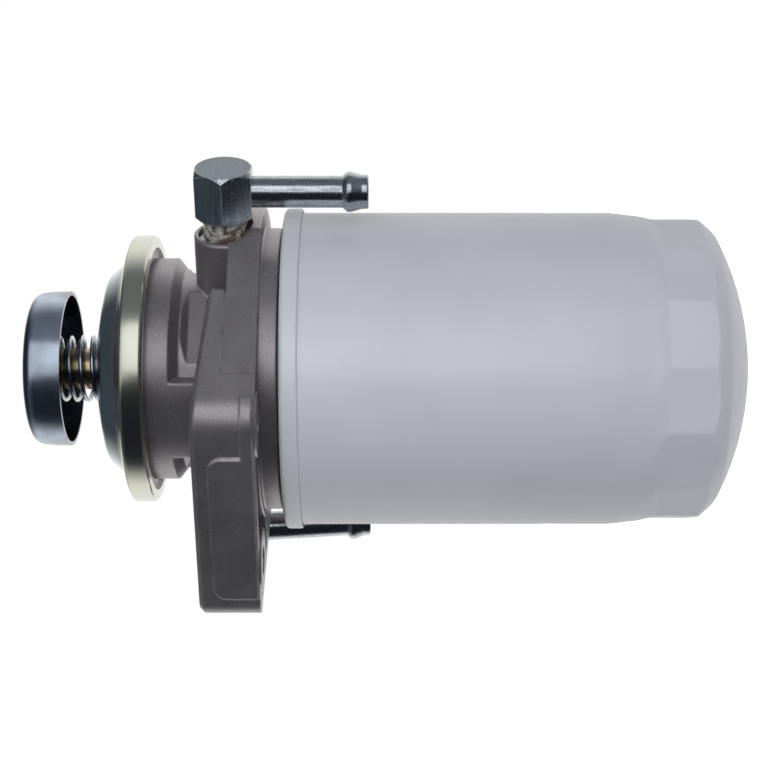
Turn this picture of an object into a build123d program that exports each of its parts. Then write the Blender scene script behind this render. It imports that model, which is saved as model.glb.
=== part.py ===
from build123d import *
import os
from math import acos, atan2, cos, degrees, hypot, pi, radians, sin, sqrt, tan

# Fuel filter head with a hand priming pump and a spin-on canister.
# Every piece is drawn about the filter's own upright axis, with the port centres at
# height 0, the inlet port towards +X and the bracket ear towards -Y. It is then set
# where it stands from the bracket: the origin is midway between the two bracket holes,
# on the faced rings under the ear.

# Bracket ear: holes, rings and the distance of the filter from them
hole_spacing = 45.0
hole_radius = 4.4
ring_radius = 9.0
ring_proud = 0.6
hole_inset = 9.0
holes_offset = 12.5
ear_reach = 9.8
ear_far_wall = 15.0
ear_start = 21.8
ear_wall = 4.5
ear_top = 7.3
ear_top_rise = 0.1
ear_hollow_top = 1.5
spot_face_depth = 0.9
spot_face_radius = 7.4
front_angle = 30.0
front_setback = 4.1
front_corner_radius = 11.0
far_corner_radius = 5.5
pad_height = 0.8
pad_top = 2.7
pad_left = -42.0
pad_right = 4.6
lip_top = -6.5
lip_length = 5.5
ear_edge = 1.4
flange_edge = 0.9
panel_depth = 0.7
panel_end = 27.0
panel_top = -0.9

# Flange, neck and canister seat of the casting
flange_radius = 47.7
flange_top = -1.2
flange_bottom = -10.3
seat_body_gap = 2.0
seat_face = -15.6
neck_inset = 3.4
neck_top = 12.9
neck_flat_angle = 35.0
neck_flat_depth = 2.4
neck_flat_chamfer = 1.8
neck_flat_top = 12.3
web_margin = 3.2
gallery_inner_radius = 14.0
gallery_margin = 0.3
gallery_top = -9.0
stud_bore_radius = 9.2
centre_duct_radius = 6.0
centre_duct_top = 4.4

# Ports
boss_radius = 9.1
boss_setback = 3.1
boss_wall = 1.2
counterbore_depth = 3.0
port_thread_radius = 5.1
port_thread_end = 26.0
duct_radius = 3.2

# Pump floor, its clamped seat and the membrane
floor_wall = 2.8
floor_bottom = 15.6
clamp_radius = 38.2
clamp_bottom = 23.1
seat_width = 8.2
clamp_lip = 2.2
seat_height = 26.5
seat_slope = 16.0
membrane = 1.5
membrane_inner_gap = 3.0
membrane_outer_gap = 0.4

# Pressed cover of the pump
sheet = 1.2
cover_rim_gap = 0.1
cover_foot_inset = 6.6
cover_edge = 0.9
cover_wall_lean = 4.0
cover_crown_top = 39.25
crown_radius = 100.0

# Plunger: rod, bush, knob, plates and stroke
stroke = 8.0
rod_radius = 6.2
rod_clearance = 0.07
spigot_radius = 4.0
bush_radius = 7.5
bush_rise = 1.0
bush_depth = 3.2
bush_flange_radius = 10.0
bush_flange_gap = 0.05
rest_gap = 0.3
plate_thickness = 1.5
upper_plate_inset = 1.0
lower_plate_radius = 20.0
nut_thickness = 5.0
nut_across_flats = 13.0
nut_recess_radius = 9.5
floor_gap = 1.6
knob_radius = 22.95
knob_rim_gap = 0.4
knob_height = 12.95
knob_wall_lean = 0.1
knob_crown_inset = 4.45
knob_corner_inset = 1.35
knob_corner_drop = 3.3
knob_shoulder_drop = 6.7
knob_dimple_radius = 6.6
knob_dimple_edge = 7.8
knob_dimple_drop = 1.7
rivet_head_radius = 5.8
rivet_head_height = 1.3
spring_outer_radius = 10.0
spring_wire = 0.65
spring_pitch = 3.55
spring_turn = -150.0

# Valves in the pump floor
valve_radius = 17.5
outlet_valve_angle = 135.0
pocket_radius = 6.0
pocket_depth = 8.0
valve_duct_radius = 2.5
valve_duct_inset = 0.9
valve_disc_radius = 4.8
valve_disc_thickness = 1.6
valve_lip_radius = 3.8
valve_lip_height = 0.8
retainer_thickness = 1.5
outlet_seat_thickness = 2.0
valve_spring_radius = 2.8
valve_spring_wire = 0.3
valve_spring_turns = 3
window_circle = 3.6
window_radius = 1.2

# Elbow fittings and hose tails
hex_across_flats = 16.0
hex_gap = 5.4
hex_length = 14.6
hex_chamfer = 1.3
collar_radius = 6.4
washer_thickness = 1.5
washer_gap = 0.3
stem_end = 30.0
stem_bore_radius = 2.8
tail_radius = 4.5
tail_bore_radius = 3.3
tail_seat = 3.0
tail_length = 32.8
bead_start = 25.6
bead_peak = 26.8
bead_land = 0.8
bead_radius = 5.7
bead_end = 31.0
tail_end_radius = 4.8
outlet_tail_clocking = 6.0

# Spin-on canister
canister_sheet = 0.9
shell_radius = 46.2
rim_reach = 1.3
rim_inset = 2.5
rim_top = -16.2
rim_bottom = -21.3
shell_hem_bottom = -20.8
dome_bottom = -152.0
taper_start_rise = 39.5
taper_end_rise = 33.0
band_step = 0.9
flat_count = 15
flat_turn = 12.0
flat_step = 2.0
flat_rise = 32.8
flat_ramp = 4.5
flat_ramp_rise = 1.3
band_rise = 15.8
dome_extra_radius = 36.8
crown_inset = 4.3
crown_steps = (0, 0.37, 0.73, 1)
lid_pan = -20.6
lid_hole_inset = 1.9
rim_edge = 0.8
gasket_inset = 5.2
gasket_width = 5.3
tapping_plate_gap = 2.9
tapping_plate_thickness = 4.0
plate_collar_radius = 13.5
plate_collar_bottom = -30.0
inlet_hole_count = 8
inlet_hole_radius = 2.6
inlet_hole_circle = 20.0
stud_top = -4.0
stud_duct_radius = 6.2

# Pleated element inside the canister
cap_gap = 4.3
cap_sheet = 0.8
upper_cap_top = -32.2
lower_cap_rise = 23.4
cap_hole_radius = 16.5
paper_gap = 1.0
paper_inner_radius = 19.0
paper_fold_offset = 3.5
pleat_count = 36
tube_outer_radius = 18.4
tube_sheet = 0.8
tube_rows = 3
tube_slot_width = 6.0
tube_slot_length = 20.0
grommet_lip_radius = 18.0
grommet_top = -28.5
grommet_reach = 0.4
leaf_inset = 13.0
leaf_width = 18.0
leaf_flat = 20.0
leaf_thickness = 1.0

# Ear and ports, which follow from the flange
ear_face = flange_radius + ear_reach
ear_far_side = holes_offset + hole_spacing / 2 + ear_far_wall
holes_to_axis = ear_face - hole_inset
front_distance = flange_radius - front_setback
boss_length = flange_radius - boss_setback
web_half_width = boss_radius + web_margin
counterbore_radius = boss_radius - boss_wall
washer_outer_radius = counterbore_radius - washer_gap
hex_bottom = boss_length + hex_gap
tail_height = hex_bottom + hex_length / 2

# Pump, which follows from its clamp flange
cover_rim_radius = clamp_radius + sheet + cover_rim_gap
clamp_lip_radius = clamp_radius - clamp_lip
chamber_radius = clamp_radius - seat_width
floor_radius = chamber_radius + floor_wall
neck_radius = floor_radius - neck_inset
neck_flat_distance = neck_radius - neck_flat_depth
cover_wall_foot = clamp_radius - cover_foot_inset
cover_shoulder_radius = cover_wall_foot - cover_wall_lean
upper_plate_radius = lower_plate_radius - upper_plate_inset
membrane_inner_bend = upper_plate_radius + membrane_inner_gap
membrane_outer_bend = chamber_radius + membrane_outer_gap

# Canister and its seat on the casting, which follow from the shell
rim_radius = shell_radius + rim_reach
rim_inner_radius = shell_radius - rim_inset
band_radius = shell_radius - band_step
flat_distance = shell_radius - flat_step
dome_radius = shell_radius + dome_extra_radius
taper_start = dome_bottom + taper_start_rise
taper_end = dome_bottom + taper_end_rise
flat_top = dome_bottom + flat_rise
band_foot = dome_bottom + band_rise
lower_cap_bottom = dome_bottom + lower_cap_rise
seat_body_radius = rim_inner_radius - seat_body_gap
gasket_outer_radius = seat_body_radius - gasket_inset
gasket_inner_radius = gasket_outer_radius - gasket_width
lid_hole_radius = gasket_inner_radius - lid_hole_inset
gallery_outer_radius = lid_hole_radius - gallery_margin
tapping_plate_radius = rim_inner_radius - tapping_plate_gap
cap_radius = shell_radius - canister_sheet - cap_gap
paper_outer_radius = cap_radius - paper_gap
leaf_reach = cap_radius - leaf_inset


def turned(*points):
    """A solid turned about the upright axis from a closed (radius, height) outline."""
    return revolve(make_face(Plane.XZ * Polyline(*points, close=True)), Axis.Z)


def pressed(points, thickness):
    """A sheet cup turned from its outer outline, with the sheet on the inner side."""
    sheet_outline = offset(Polyline(*points), thickness, side=Side.RIGHT, kind=Kind.INTERSECTION)
    return revolve(make_face(Plane.XZ * sheet_outline), Axis.Z)


def rims(solid, radius, height):
    """The round edges of a turned solid at one radius and height."""
    round_edges = solid.edges().filter_by(GeomType.CIRCLE)
    near = [e for e in round_edges if abs(e.radius - radius) < 0.01]
    return [e for e in near if abs(e.arc_center.Z - height) < 0.01]


def column(radius, bottom, top):
    """An upright cylinder on the filter axis."""
    upwards = (Align.CENTER, Align.CENTER, Align.MIN)
    return Pos(0, 0, bottom) * Cylinder(radius, top - bottom, align=upwards)


def tube(outer, inner, bottom, top):
    """An upright ring on the filter axis."""
    return column(outer, bottom, top) - column(inner, bottom, top)


def bar_x(radius, start, end):
    """A cylinder along +X from one distance to another."""
    return Rot(0, 90, 0) * column(radius, start, end)


def coil(mean_radius, wire, bottom, top, turns, steps):
    """A wire spring between two heights, drawn with a set number of steps in each turn."""
    climb = top - bottom - 2 * wire
    count = round(turns * steps)
    slope = degrees(atan2(climb / turns, 2 * pi * mean_radius))
    sections = []
    for step in range(count + 1):
        spot = Rot(0, 0, 360 * step / steps) * Pos(mean_radius, 0, bottom + wire + climb * step / count)
        sections.append(spot * Rot(90 + slope, 0, 0) * RegularPolygon(wire, 6))
    return loft(sections, ruled=True)


def seat_z(radius):
    """Height of the casting's conical membrane seat at a radius."""
    return seat_height - (radius - clamp_lip_radius) * tan(radians(seat_slope))


def crown_z(top, radius):
    """Height of a shallow pressed crown at a radius."""
    return top - radius ** 2 / (2 * crown_radius)


def crown_corner(top, start, end):
    """Corner of the two straight lines that follow a crown between two radii."""
    return ((start + end) / 2, top - start * end / (2 * crown_radius))


def dome_z(radius):
    """Height of the canister's domed end at a radius."""
    return dome_bottom + dome_radius - sqrt(dome_radius ** 2 - radius ** 2)


def crown_line(lift):
    """Points along the canister's domed end, lifted by a sheet thickness."""
    radii = [step * (band_radius - crown_inset) for step in crown_steps]
    return [(radius, dome_z(radius) + lift) for radius in radii]


def cover_z(radius):
    """Height of the cover's outer face over the clamped membrane."""
    return seat_z(radius) + (membrane + sheet) / cos(radians(seat_slope))


# Heights that follow from the cover's crown and the stroke
bush_top = cover_crown_top + bush_rise
bush_bottom = cover_crown_top - bush_depth
knob_rim = cover_crown_top + stroke + knob_rim_gap
knob_crown_top = knob_rim + knob_height
knob_dimple = knob_crown_top - knob_dimple_drop
upper_plate_top = bush_bottom - rest_gap
membrane_top = upper_plate_top - plate_thickness
membrane_bottom = membrane_top - membrane
nut_top = membrane_bottom - plate_thickness
nut_bottom = nut_top - nut_thickness
rod_end = nut_bottom - 1.0
chamber_floor = nut_top - stroke - floor_gap
nut_recess_floor = rod_end - stroke - 0.6
pocket_floor = chamber_floor - pocket_depth
inlet_valve_at = Pos(valve_radius, 0, 0)
outlet_valve_at = Rot(0, 0, outlet_valve_angle) * Pos(valve_radius, 0, 0)


def ear_outline(face, front):
    """Round flange and bracket ear from above, for a given face and front distance."""
    slant = radians(front_angle)
    far_corner = (-ear_far_side, -face)
    front_corner = ((front - face * sin(slant)) / cos(slant), -face)
    leave = acos(front / flange_radius) - slant
    front_start = (flange_radius * cos(leave), flange_radius * sin(leave))
    touch = atan2(-face, -ear_far_side) - acos(flange_radius / hypot(face, ear_far_side))
    far_start = (flange_radius * cos(touch), flange_radius * sin(touch))
    sides = Polyline(far_start, far_corner, front_corner, front_start)
    outline = make_face(sides + ThreePointArc(front_start, (0, flange_radius), far_start))
    outline = fillet(outline.vertices().sort_by_distance(far_corner)[0], far_corner_radius)
    return fillet(outline.vertices().sort_by_distance(front_corner)[0], front_corner_radius)


def beyond(distance):
    """The part of the plan further out towards the ear's face than a distance."""
    depth = 2 * ear_face
    return Pos(0, -distance - depth / 2) * Rectangle(4 * ear_face, depth)


def flange_and_ear():
    """Round flange with the ear standing on it, its top rising outwards from the neck."""
    plan = ear_outline(ear_face, front_distance)
    flange = Pos(0, 0, flange_bottom) * extrude(plan, flange_top - flange_bottom)
    ear = Pos(0, 0, flange_bottom) * extrude(plan & beyond(ear_start), 30)
    slope = Plane(origin=(0, -ear_face, ear_top), z_dir=(0, ear_top_rise, 1))
    body = flange + split(ear, bisect_by=slope, keep=Keep.BOTTOM)
    body = chamfer(body.faces().sort_by(Axis.Z)[-1].edges(), ear_edge)
    level = [e for e in body.edges() if abs(e.center().Z - flange_top) < 0.01]
    return chamfer([e for e in level if abs(e.center().Y + ear_start) > 0.2], flange_edge)


def ear_pads():
    """The shallow raised pad on the ear's face and the lip round its front corner."""
    outline = ear_outline(ear_face + pad_height, front_distance + pad_height)
    proud = Pos(0, 0, flange_bottom + 0.5) * extrude(outline, 20)
    height = pad_top - flange_bottom + 8
    middle = (pad_left + pad_right) / 2
    window = RectangleRounded(pad_right - pad_left, height, 4.0)
    pad = extrude(Plane.XZ * Pos(middle, pad_top - height / 2) * window, ear_face + 20)
    lip = Box(40, 20, 2 * abs(lip_top), align=(Align.MIN, Align.CENTER, Align.MAX))
    lip = Pos(pad_right - 3, -ear_face, lip_top) * lip
    reach = ear_face - lip_length
    behind = Pos(0, -reach / 2, 0) * Box(4 * ear_face, reach, 80)
    return proud & (pad - behind) + (proud & (lip - behind))


def front_panel():
    """The shallow recess along the sloping front, below the ear's own edge."""
    length = panel_end + flange_radius
    recess = Box(2 * panel_depth, length, 20, align=(Align.CENTER, Align.MIN, Align.MAX))
    return Rot(0, 0, -front_angle) * Pos(front_distance, -panel_end, panel_top) * recess


def ear_hollow():
    """The space inside the ear's walls, open below."""
    inner = offset(ear_outline(ear_face, front_distance), -ear_wall, kind=Kind.INTERSECTION)
    plan = (inner & beyond(ear_start + ear_wall)) - Circle(seat_body_radius + ear_wall / 2)
    return Pos(0, 0, flange_bottom) * extrude(plan, ear_hollow_top - flange_bottom)


def bracket_holes():
    """Centres of the two bracket holes in plan."""
    return [Pos(-holes_offset + side * hole_spacing / 2, -holes_to_axis, 0) for side in (-1, 1)]


def neck():
    """Neck under the pump with its side flats, and the web to the ear and its mirror."""
    top = chamber_floor - 1
    body = turned((0, flange_top - 1), (neck_radius, flange_top - 1), (neck_radius, neck_top),
                  (floor_radius, floor_bottom), (floor_radius, top), (0, top))
    reach = floor_radius + 2
    profile = Polyline((neck_flat_distance, flange_top - 2),
                       (neck_flat_distance, neck_flat_top - neck_flat_chamfer),
                       (neck_flat_distance + neck_flat_chamfer, neck_flat_top),
                       (reach, neck_flat_top), (reach, flange_top - 2), close=True)
    flat = extrude(Plane.XZ * make_face(profile), 2 * neck_radius, both=True)
    for angle in (neck_flat_angle, 180 - neck_flat_angle, 180 + neck_flat_angle, -neck_flat_angle):
        body -= Rot(0, 0, angle) * flat
    web = Box(2 * web_half_width, 2 * floor_radius + 2, 100)
    return body + (web & column(floor_radius, flange_top - 1, top))


def pump_floor():
    """Top of the casting: clamp flange, conical seat, chamber and nut recess."""
    return turned((0, chamber_floor - 2), (floor_radius, chamber_floor - 2),
                  (floor_radius, clamp_bottom), (clamp_radius, clamp_bottom),
                  (clamp_radius, seat_z(clamp_radius)), (chamber_radius, seat_z(chamber_radius)),
                  (chamber_radius, chamber_floor), (0, chamber_floor))


def port_boss():
    """One port boss along +X, with its rounded lip."""
    boss = bar_x(boss_radius, web_half_width, boss_length)
    rim = boss.edges().filter_by(GeomType.CIRCLE).sort_by(Axis.X)[-1]
    return chamfer(rim, 0.5)


def port_drilling():
    """Counterbore and thread core of one port along +X."""
    return (bar_x(counterbore_radius, boss_length - counterbore_depth, flange_radius + 1)
            + bar_x(port_thread_radius, port_thread_end, boss_length))


def head_casting():
    """The die-cast head with all its machined holes."""
    casting = flange_and_ear() - front_panel() + ear_pads()
    casting = casting + column(seat_body_radius, seat_face, flange_bottom + 1) + neck() + pump_floor()
    for turn in (0, 180):
        casting += Rot(0, 0, turn) * port_boss()
    casting -= ear_hollow()
    for hole in bracket_holes():
        casting += hole * column(ring_radius, flange_bottom - ring_proud, ear_hollow_top + 1)
    casting -= column(nut_recess_radius, nut_recess_floor, chamber_floor + 1)
    casting -= tube(gallery_outer_radius, gallery_inner_radius, seat_face - 1, gallery_top)
    casting -= column(stud_bore_radius, seat_face - 1, stud_top)
    casting -= column(centre_duct_radius, stud_top, centre_duct_top)
    for turn in (0, 180):
        casting -= Rot(0, 0, turn) * port_drilling()
    casting -= bar_x(duct_radius, valve_radius - valve_duct_radius - valve_duct_inset, port_thread_end)
    casting -= bar_x(duct_radius, -port_thread_end, 0)
    casting -= inlet_valve_at * column(valve_duct_radius, 0, pocket_floor + 1)
    casting -= outlet_valve_at * column(valve_duct_radius, gallery_top - 1, pocket_floor + 1)
    for place in (inlet_valve_at, outlet_valve_at):
        casting -= place * column(pocket_radius, pocket_floor, chamber_floor + 1)
    lip_top = pocket_floor + valve_lip_height
    casting += inlet_valve_at * tube(valve_lip_radius, valve_duct_radius, pocket_floor, lip_top)
    spot_face = ear_top + ear_top_rise * (holes_to_axis - ear_face) - spot_face_depth
    for hole in bracket_holes():
        casting -= hole * column(hole_radius, flange_bottom - ring_proud - 1, ear_top + 5)
        casting -= hole * column(spot_face_radius, spot_face, ear_top + 5)
    return casting


def pump_cover():
    """Pressed dome over the pump, its rim crimped under the casting's clamp flange."""
    points = [(bush_radius, crown_z(cover_crown_top, bush_radius)),
              crown_corner(cover_crown_top, bush_radius, cover_shoulder_radius),
              (cover_shoulder_radius, crown_z(cover_crown_top, cover_shoulder_radius)),
              (cover_wall_foot, cover_z(cover_wall_foot)),
              (cover_rim_radius, cover_z(cover_rim_radius)),
              (cover_rim_radius, clamp_bottom - sheet),
              (clamp_lip_radius, clamp_bottom - sheet)]
    cover = pressed(points, sheet) - column(bush_radius, bush_bottom, bush_top)
    cover = chamfer(rims(cover, cover_rim_radius, cover_z(cover_rim_radius)), cover_edge)
    return chamfer(rims(cover, cover_rim_radius, clamp_bottom - sheet), cover_edge)


def rod_guide_bush():
    """Turned collar that carries the rod in the middle of the dome."""
    bore = rod_radius + rod_clearance
    flange_top = crown_z(cover_crown_top, bush_flange_radius) - sheet - bush_flange_gap
    return turned((bore, bush_bottom), (bush_flange_radius, bush_bottom),
                  (bush_flange_radius, flange_top), (bush_radius, flange_top), (bush_radius, bush_top),
                  (bore, bush_top))


def plunger_rod():
    """Rod with a spigot at each end, riveted over in the knob's dimple."""
    shoulder = knob_dimple - sheet
    head = knob_dimple + rivet_head_height
    return turned((0, rod_end), (spigot_radius - 0.5, rod_end), (spigot_radius, rod_end + 0.5),
                  (spigot_radius, upper_plate_top), (rod_radius, upper_plate_top),
                  (rod_radius, shoulder), (spigot_radius, shoulder), (spigot_radius, knob_dimple),
                  (rivet_head_radius, knob_dimple), (rivet_head_radius, head - 0.8),
                  (rivet_head_radius - 2.5, head), (0, head))


def plunger_knob():
    """Pressed cup with a dimple for the rod's riveted end."""
    crown_edge = knob_radius - knob_crown_inset
    points = [(spigot_radius, knob_dimple), (knob_dimple_radius, knob_dimple),
              (knob_dimple_edge, crown_z(knob_crown_top, knob_dimple_edge)),
              (crown_edge, crown_z(knob_crown_top, crown_edge)),
              (knob_radius - knob_corner_inset, knob_crown_top - knob_corner_drop),
              (knob_radius - knob_wall_lean, knob_crown_top - knob_shoulder_drop),
              (knob_radius, knob_rim)]
    return pressed(points, sheet)


def return_spring():
    """Coil spring from the dome up to the inside of the knob."""
    mean = spring_outer_radius - spring_wire
    bottom = crown_z(cover_crown_top, mean)
    top = crown_z(knob_crown_top, spring_outer_radius) - sheet - 0.1
    turns = round((top - bottom - 2 * spring_wire) / spring_pitch * 2) / 2
    return Rot(0, 0, spring_turn) * coil(mean, spring_wire, bottom, top, turns, 12)


def diaphragm():
    """Moulded rubber membrane from the clamped rim up to the plates on the rod."""
    rise = membrane / cos(radians(seat_slope))
    edge = clamp_radius - 0.8
    bend_z = seat_z(membrane_outer_bend)
    return turned((edge, seat_z(edge)), (edge, seat_z(edge) + rise),
                  (membrane_outer_bend, bend_z + rise), (membrane_inner_bend, membrane_top),
                  (spigot_radius, membrane_top), (spigot_radius, membrane_bottom),
                  (membrane_inner_bend - 0.4, membrane_bottom), (membrane_outer_bend, bend_z))


def diaphragm_plate(radius, bottom):
    """A pressed washer that clamps the membrane."""
    return tube(radius, spigot_radius, bottom, bottom + plate_thickness)


def diaphragm_plate_upper():
    """The washer above the membrane, against the rod's shoulder."""
    return diaphragm_plate(upper_plate_radius, membrane_top)


def diaphragm_plate_lower():
    """The washer below the membrane."""
    return diaphragm_plate(lower_plate_radius, nut_top)


def diaphragm_nut():
    """Hexagon nut under the membrane plates."""
    prism = extrude(RegularPolygon(nut_across_flats / 2, 6, major_radius=False), nut_thickness)
    return Pos(0, 0, nut_bottom) * prism - column(spigot_radius, nut_bottom, nut_top)


def valve_disc(bottom):
    """A plain round valve disc."""
    return column(valve_disc_radius, bottom, bottom + valve_disc_thickness)


def valve_spring(bottom, top):
    """A light coil spring behind a valve disc."""
    return coil(valve_spring_radius, valve_spring_wire, bottom, top, valve_spring_turns, 8)


def inlet_valve_disc():
    """Suction valve disc, resting on the casting's lip."""
    return inlet_valve_at * valve_disc(pocket_floor + valve_lip_height)


def inlet_valve_spring():
    """Spring between the suction disc and its retainer."""
    disc_top = pocket_floor + valve_lip_height + valve_disc_thickness
    return inlet_valve_at * valve_spring(disc_top, chamber_floor - retainer_thickness)


def inlet_valve_retainer():
    """Ring pressed into the inlet pocket, with windows round a centre pad."""
    bottom = chamber_floor - retainer_thickness
    ring = column(pocket_radius, bottom, chamber_floor)
    for angle in (45, 135, 225, 315):
        ring -= Rot(0, 0, angle) * Pos(window_circle, 0, 0) * column(window_radius, bottom, chamber_floor)
    return inlet_valve_at * ring


def outlet_valve_seat():
    """Seat ring pressed into the outlet pocket, above its disc."""
    bottom = chamber_floor - outlet_seat_thickness
    return outlet_valve_at * tube(pocket_radius, valve_duct_radius, bottom, chamber_floor)


def outlet_valve_disc():
    """Delivery valve disc, held up against its seat."""
    return outlet_valve_at * valve_disc(chamber_floor - outlet_seat_thickness - valve_disc_thickness)


def outlet_valve_spring():
    """Spring below the delivery disc."""
    disc_bottom = chamber_floor - outlet_seat_thickness - valve_disc_thickness
    return outlet_valve_at * valve_spring(pocket_floor, disc_bottom)


def elbow():
    """Hexagon elbow along +X, with its sealing collar and threaded stem."""
    corner = hex_across_flats / sqrt(3)
    hexagon = RegularPolygon(hex_across_flats / 2, 6, major_radius=False, rotation=30)
    cone = turned((0, 0), (corner - hex_chamfer, 0), (corner + 0.1, hex_chamfer + 0.2),
                  (corner + 0.1, hex_length - hex_chamfer - 0.2), (corner - hex_chamfer, hex_length),
                  (0, hex_length))
    washer_top = boss_length - counterbore_depth + washer_thickness
    body = Rot(0, 90, 0) * Pos(0, 0, hex_bottom) * (extrude(hexagon, hex_length) & cone)
    body += bar_x(collar_radius, washer_top, hex_bottom)
    body += bar_x(port_thread_radius, stem_end, washer_top)
    body -= bar_x(stem_bore_radius, stem_end, tail_height + stem_bore_radius)
    body -= Pos(tail_height, 0, 0) * column(tail_radius, -hex_across_flats / 2 - 1, -tail_seat)
    return body - Pos(tail_height, 0, 0) * column(stem_bore_radius, -tail_seat, 0)


def hose_tail():
    """Beaded tube that hangs down from the elbow's flat."""
    flat = -hex_across_flats / 2
    end = flat - tail_length
    bead_z = flat - bead_peak
    profile = turned((tail_bore_radius, -tail_seat), (tail_radius, -tail_seat),
                     (tail_radius, flat - bead_start), (bead_radius, bead_z),
                     (bead_radius, bead_z - bead_land),
                     (tail_end_radius, flat - bead_end), (tail_end_radius, end),
                     (tail_bore_radius, end))
    return Pos(tail_height, 0, 0) * profile


def seal_washer():
    """Flat washer at the bottom of the port's counterbore."""
    bottom = boss_length - counterbore_depth
    top = bottom + washer_thickness
    return bar_x(washer_outer_radius, bottom, top) - bar_x(port_thread_radius, bottom, top)


def outlet_side(piece):
    """Turns an inlet-side piece to the outlet port, with its tail clocked a little."""
    return Rot(0, 0, 180) * Rot(-outlet_tail_clocking, 0, 0) * piece


def outlet_elbow():
    """Elbow of the outlet port."""
    return outlet_side(elbow())


def outlet_hose_tail():
    """Hose tail of the outlet port."""
    return outlet_side(hose_tail())


def outlet_seal_washer():
    """Washer of the outlet port."""
    return outlet_side(seal_washer())


def canister_lid():
    """Lid of the canister, folded over the shell's hem at the rim."""
    inner = rim_inner_radius + canister_sheet
    outer = rim_radius - canister_sheet
    return turned((lid_hole_radius, lid_pan - canister_sheet), (inner, lid_pan - canister_sheet),
                  (inner, rim_top - canister_sheet), (outer, rim_top - canister_sheet),
                  (outer, rim_bottom), (rim_radius, rim_bottom),
                  (rim_radius, rim_top - rim_edge), (rim_radius - rim_edge, rim_top),
                  (rim_inner_radius, rim_top), (rim_inner_radius, lid_pan), (lid_hole_radius, lid_pan))


def canister_side():
    """Solid form of the canister's side, wrench flats and domed end."""
    body = turned(*crown_line(0), (band_radius, band_foot), (band_radius, taper_end),
                  (shell_radius, taper_start), (shell_radius, rim_bottom), (0, rim_bottom))
    low = RegularPolygon(flat_distance, flat_count, major_radius=False, rotation=flat_turn)
    wide = flat_distance + flat_ramp_rise
    high = RegularPolygon(wide, flat_count, major_radius=False, rotation=flat_turn)
    ramp = loft([low, Pos(0, 0, flat_ramp) * high])
    foot = flat_top - flat_ramp
    tool = Pos(0, 0, foot) * (ramp + extrude(low, dome_bottom - foot))
    return body & (tool + column(rim_radius, flat_top, rim_bottom))


def canister_shell():
    """Drawn can with a rolled hem inside the lid's seam."""
    wall = canister_sheet
    inside = turned(*crown_line(wall), (flat_distance - wall, band_foot),
                    (flat_distance - wall, flat_top - flat_ramp),
                    (shell_radius - wall, taper_start), (shell_radius - wall, rim_top), (0, rim_top))
    hem = tube(rim_radius - wall, rim_inner_radius + wall, shell_hem_bottom, rim_top - wall)
    neck_wall = column(shell_radius, rim_bottom - 1, shell_hem_bottom + 1)
    return canister_side() + neck_wall + hem - inside


def canister_gasket():
    """Square-section rubber ring between the canister and the head."""
    return tube(gasket_outer_radius, gasket_inner_radius, lid_pan, seat_face)


def tapping_plate():
    """Thick plate with the canister's thread, its collar and the inlet holes."""
    top = lid_pan - canister_sheet
    plate = column(tapping_plate_radius, top - tapping_plate_thickness, top)
    plate += column(plate_collar_radius, plate_collar_bottom, top)
    plate -= column(stud_bore_radius, plate_collar_bottom, top)
    for place in PolarLocations(inlet_hole_circle, inlet_hole_count):
        plate -= place * column(inlet_hole_radius, top - tapping_plate_thickness, top)
    return plate


def canister_nipple():
    """Hollow stud from the head down through the tapping plate."""
    return tube(stud_bore_radius, stud_duct_radius, plate_collar_bottom, stud_top)


def pleats(outer, inner):
    """Star outline of the folded paper between an outer and an inner radius."""
    step = radians(360 / pleat_count)
    points = []
    for fold in range(pleat_count):
        points.append((outer * cos(fold * step), outer * sin(fold * step)))
        points.append((inner * cos((fold + 0.5) * step), inner * sin((fold + 0.5) * step)))
    return make_face(Polyline(*points, close=True))


def filter_paper():
    """Pleated paper between the two end caps."""
    section = pleats(paper_outer_radius, paper_inner_radius + paper_fold_offset)
    section -= pleats(paper_outer_radius - paper_fold_offset, paper_inner_radius)
    bottom = lower_cap_bottom + cap_sheet
    return Pos(0, 0, bottom) * extrude(section, upper_cap_top - cap_sheet - bottom)


def element_cap_upper():
    """Upper end cap with the hole for the grommet."""
    return tube(cap_radius, cap_hole_radius, upper_cap_top - cap_sheet, upper_cap_top)


def element_cap_lower():
    """Closed lower end cap."""
    return column(cap_radius, lower_cap_bottom, lower_cap_bottom + cap_sheet)


def centre_tube():
    """Slotted tube inside the paper."""
    top = upper_cap_top - cap_sheet
    bottom = lower_cap_bottom + cap_sheet
    body = tube(tube_outer_radius, tube_outer_radius - tube_sheet, bottom, top)
    for row in range(tube_rows):
        height = bottom + (row + 0.5) * (top - bottom) / tube_rows
        for turn in (0, 90):
            body -= Pos(0, 0, height) * Rot(0, 0, turn) * Box(100, tube_slot_width, tube_slot_length)
    return body


def element_grommet():
    """Rubber seal on the tapping plate's collar, in the upper cap's hole."""
    cap_bottom = upper_cap_top - cap_sheet
    return turned((plate_collar_radius, grommet_top), (cap_hole_radius, grommet_top),
                  (grommet_lip_radius, grommet_top - 1.5), (grommet_lip_radius, upper_cap_top),
                  (cap_hole_radius, upper_cap_top), (cap_hole_radius, cap_bottom - grommet_reach),
                  (plate_collar_radius, cap_bottom - grommet_reach))


def element_spring():
    """Bowed leaf spring between the dome and the lower cap."""
    foot = dome_z(hypot(leaf_reach, leaf_width / 2)) + canister_sheet + leaf_thickness + 0.3
    path = Polyline((-leaf_reach, foot), (-leaf_flat / 2, lower_cap_bottom),
                    (leaf_flat / 2, lower_cap_bottom), (leaf_reach, foot))
    strip = make_face(Plane.XZ * offset(path, leaf_thickness, side=Side.RIGHT, kind=Kind.INTERSECTION))
    return extrude(strip, leaf_width / 2, both=True)


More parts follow.
